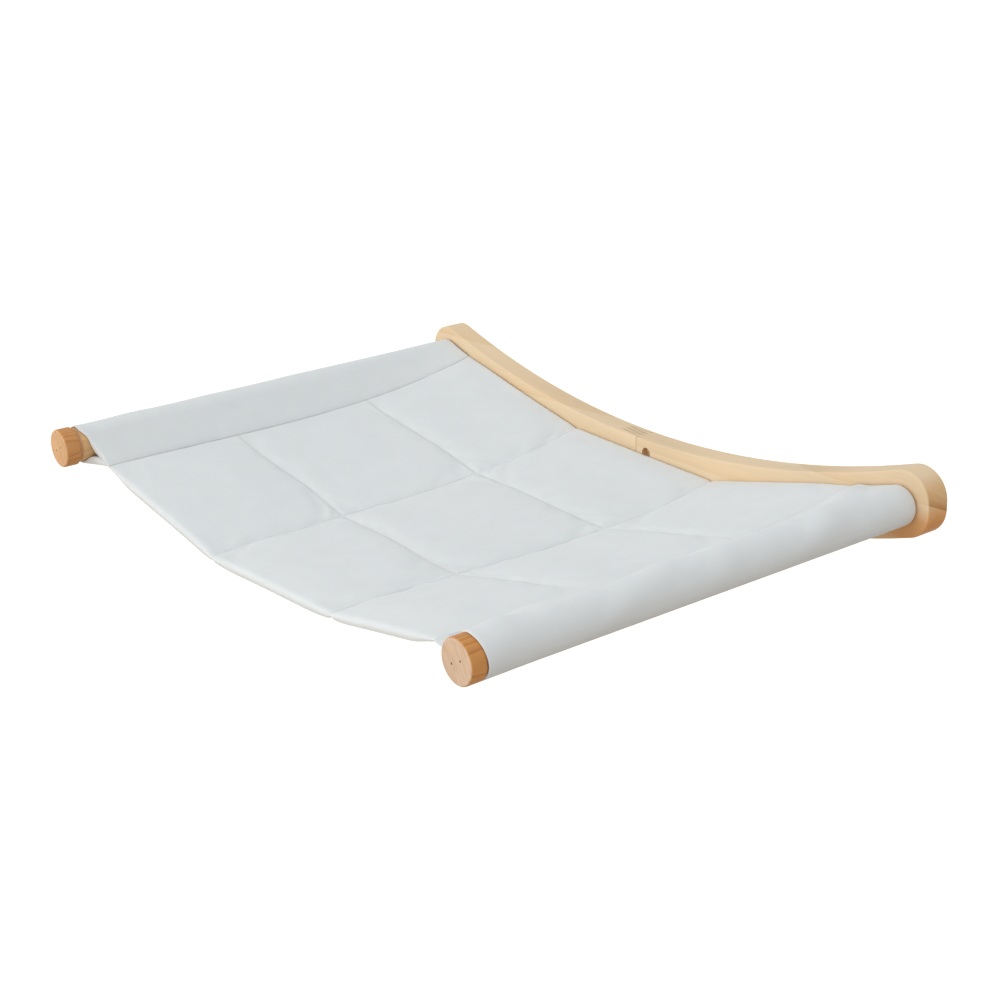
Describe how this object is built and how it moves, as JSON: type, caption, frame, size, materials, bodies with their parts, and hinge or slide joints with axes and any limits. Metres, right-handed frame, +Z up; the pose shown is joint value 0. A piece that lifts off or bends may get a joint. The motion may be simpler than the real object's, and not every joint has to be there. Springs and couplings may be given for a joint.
{
  "type": "wall-mounted cat hammock",
  "caption": "Wall-mounted cat hammock: a curved wooden wall bar with capped round rods that hold a quilted cloth sling between them.",
  "frame": {"origin": "on the wall plane, on the axis of the middle wall screw hole", "axes": "+X along the bar, +Y into the wall, +Z up; the hammock stands out along -Y"},
  "size_m": [0.53, 0.37, 0.0844],
  "materials": {
    "pine_bar": "clear matt lacquer",
    "rod_wood": "sanded, bare",
    "cap_wood": "sanded, bare",
    "sling_cloth": "plain weave",
    "sling_batting": "wadding",
    "zinc_steel": "zinc plated",
    "insert_brass": "turned"
  },
  "bodies": {
    "wall_frame": {"bracket_left_board": "pine_bar", "bracket_right_board": "pine_bar", "left_bolt_washer": "zinc_steel", "right_bolt_washer": "zinc_steel", "sling_top_cloth": "sling_cloth", "sling_batting": "sling_batting", "sling_bottom_cloth": "sling_cloth", "sling_back_hem": "sling_cloth", "sling_front_hem": "sling_cloth", "left_sleeve": "sling_cloth", "right_sleeve": "sling_cloth"},
    "left_bolt": {"left_bolt": "zinc_steel"},
    "left_rod": {"left_rod": "rod_wood", "left_rod_insert": "insert_brass", "left_end_cap": "cap_wood", "left_cap_brads": "zinc_steel"},
    "right_bolt": {"right_bolt": "zinc_steel"},
    "right_rod": {"right_rod": "rod_wood", "right_rod_insert": "insert_brass", "right_end_cap": "cap_wood", "right_cap_brads": "zinc_steel"}
  },
  "joints": [
    {"name": "left_bolt_turn", "type": "hinge", "parent": "wall_frame", "child": "left_bolt", "pos_m": [-0.2425, 0, 0.026], "axis": [0, 1, 0], "range_deg": [0, 7200]},
    {"name": "left_rod_draw", "type": "slide", "parent": "wall_frame", "child": "left_rod", "axis": [0, -1, 0], "range_m": [0, 0.025]},
    {"name": "right_bolt_turn", "type": "hinge", "parent": "wall_frame", "child": "right_bolt", "pos_m": [0.2425, 0, 0.026], "axis": [0, 1, 0], "range_deg": [0, 7200]},
    {"name": "right_rod_draw", "type": "slide", "parent": "wall_frame", "child": "right_rod", "axis": [0, -1, 0], "range_m": [0, 0.025]}
  ],
  "couplings": [
    {"joint": "left_bolt_turn", "follows": "left_rod_draw", "rad_per_m": 5026.5},
    {"joint": "right_bolt_turn", "follows": "right_rod_draw", "rad_per_m": 5026.5}
  ]
}
